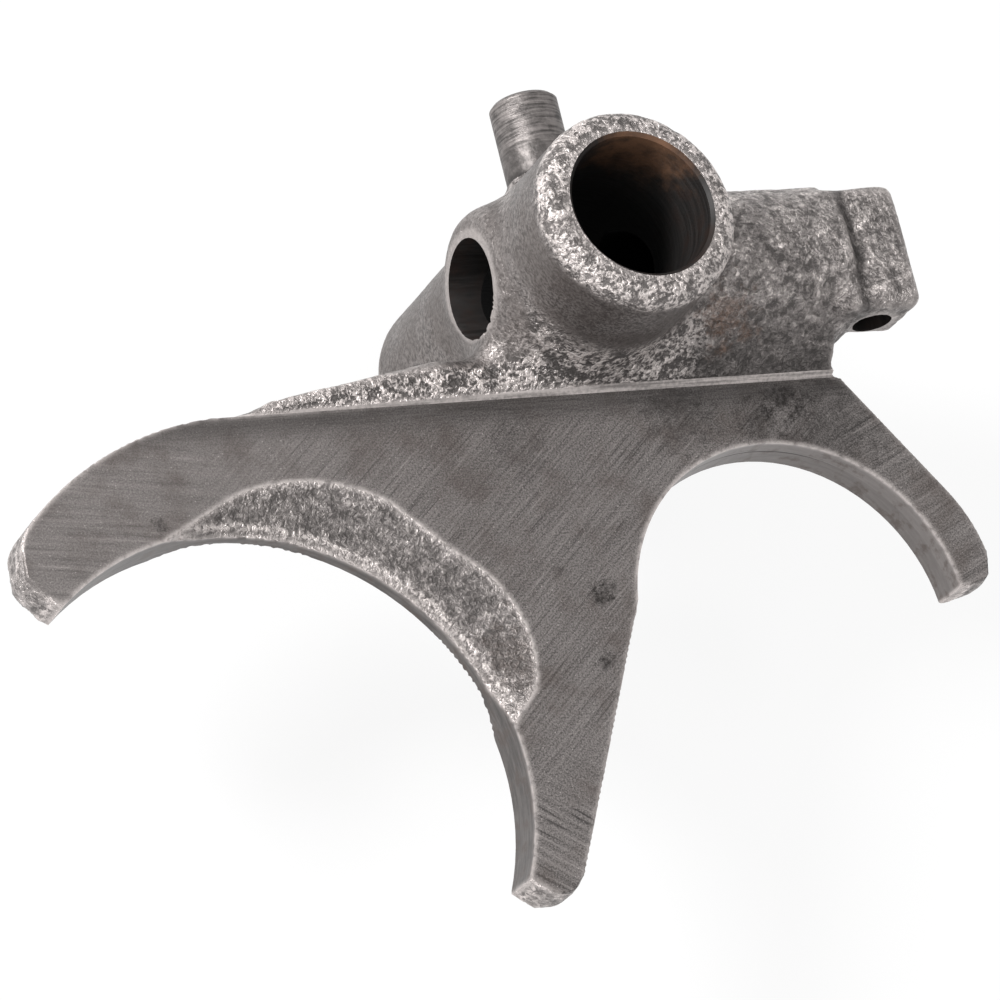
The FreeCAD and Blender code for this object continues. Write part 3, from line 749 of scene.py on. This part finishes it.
reference = Reference(frame["nodes"][NODE].data)
forging = build_forging(reference)
materials = {
    "cast": cast_material(),
    "milled": milled_material(),
    "claw_wall": claw_wall_material(),
    "ledge": ledge_material(),
    "bore": bore_material("bore_wall", 0.011, 2, HUB_FRONT - 2, HUB_FRONT - 16,
                          (3.0, RAIL_RADIUS, HUB_FRONT - 2.0)),
    "detent": bore_material("detent_wall", 0.013, 0, -12, -2),
    "pin_hole": bore_material("pin_wall", 0.012, 1, BLOCK_BOTTOM, BLOCK_BOTTOM + 5),
    "peg": peg_material(),
}
for zone in ZONES:
    forging.data.materials.append(materials[zone])
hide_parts(NODE)
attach(forging, "root")

# camera at the photograph's angle: rows are its right, up and backward directions
CAMERA_ROWS = ((0.897, -0.224, 0.381), (0.069, 0.923, 0.379), (-0.437, -0.314, 0.843))
ORIGIN_SEEN = Vector((7.33, 23.53, -500.0)) * MM
VIEW = Matrix(CAMERA_ROWS).to_quaternion().normalized().to_matrix()
camera_data = bpy.data.cameras.new("camera")
camera_data.sensor_width = 36.0
camera_data.lens = 165.6
camera_data.clip_start = 0.01
camera_data.clip_end = 20.0
camera = add_object("camera", camera_data)
camera.matrix_world = Matrix.Translation(-(VIEW.transposed() @ ORIGIN_SEEN)) @ VIEW.transposed().to_4x4()
bpy.context.scene.camera = camera


def add_floor():
    """Pale floor just under the part. It looks white, and keeps a soft shadow."""
    half = 3.0
    height = (HUB_BACK - 0.3) * MM
    mesh = bpy.data.meshes.new("floor")
    mesh.from_pydata([(x * half, y * half, height) for x, y in ((-1, -1), (1, -1), (1, 1), (-1, 1))],
                     [], [(0, 1, 2, 3)])
    floor = add_object("floor", mesh)
    shader = Shader("floor")
    shader.finish((0.9, 0.9, 0.9, 1.0), 0.9, 0.0)
    paths = shader.node("ShaderNodeLightPath").outputs
    seen = shader.math("MAXIMUM", paths["Is Camera Ray"], shader.math(
        "MAXIMUM", paths["Is Glossy Ray"], paths["Is Transmission Ray"]))
    glow = shader.node("ShaderNodeEmission", {"Color": (1, 1, 1, 1), "Strength": 1.0})
    blended = shader.node("ShaderNodeMixShader", {"Fac": shader.times(seen, 0.88)})
    shader.link(shader.surface.outputs[0], blended.inputs[1])
    shader.link(glow.outputs[0], blended.inputs[2])
    shader.link(blended.outputs[0], shader.nodes["Material Output"].inputs["Surface"])
    mesh.materials.append(shader.material)


def add_light(name, seen_from, distance, size, power):
    """Round soft light, placed by the camera's own directions: right, up, towards the camera."""
    way = VIEW.transposed() @ Vector(seen_from).normalized()
    data = bpy.data.lights.new(name, "AREA")
    data.shape = "DISK"
    data.size = size
    data.energy = power
    light = add_object(name, data)
    light.location = way * distance
    light.rotation_mode = "QUATERNION"
    light.rotation_quaternion = (-way).to_track_quat("-Z", "Y")


add_floor()
add_light("key", (-0.6, 0.5, 0.75), 0.8, 0.22, 8.0)
add_light("side", (0.8, 0.35, 0.45), 0.9, 0.3, 1.2)
add_light("fill", (-0.25, -0.8, 0.6), 0.9, 0.4, 2.0)
world = bpy.data.worlds.new("world")
world.use_nodes = True
world.node_tree.nodes["Background"].inputs["Color"].default_value = (1, 1, 1, 1)
world.node_tree.nodes["Background"].inputs["Strength"].default_value = WORLD_LIGHT
bpy.context.scene.world = world
bpy.context.scene.view_settings.view_transform = "Standard"
